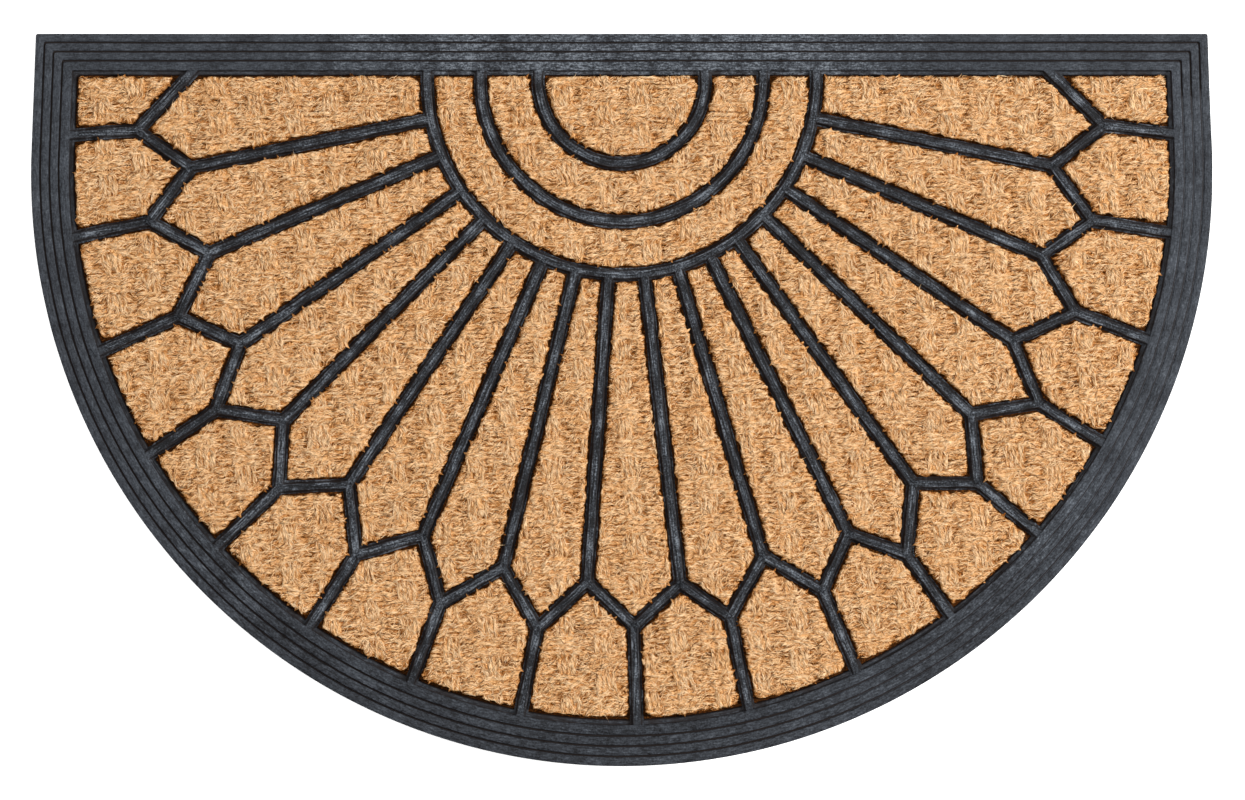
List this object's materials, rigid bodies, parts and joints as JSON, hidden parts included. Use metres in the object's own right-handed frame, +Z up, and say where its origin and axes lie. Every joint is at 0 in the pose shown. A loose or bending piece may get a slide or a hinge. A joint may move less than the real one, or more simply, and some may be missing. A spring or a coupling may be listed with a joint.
{
  "type": "coir doormat",
  "caption": "Half-moon doormat: a woven coir panel held in a moulded rubber backing with a ribbed border and raised bars in a sunburst pattern.",
  "frame": {"origin": "on the floor under the middle of the mat's bounding box", "axes": "+X along the straight edge, +Y towards the straight edge, which lies at the door, +Z up out of the coir face"},
  "size_m": [0.7498, 0.465, 0.0105],
  "materials": {
    "rubber": "matt dark slate moulded rubber with pale dusty bloom",
    "coir": "natural golden brown coir, basket weave, brushed and hairy"
  },
  "bodies": {
    "root": {"rubber_moulding": "rubber", "coir_panel": "coir"}
  },
  "joints": []
}
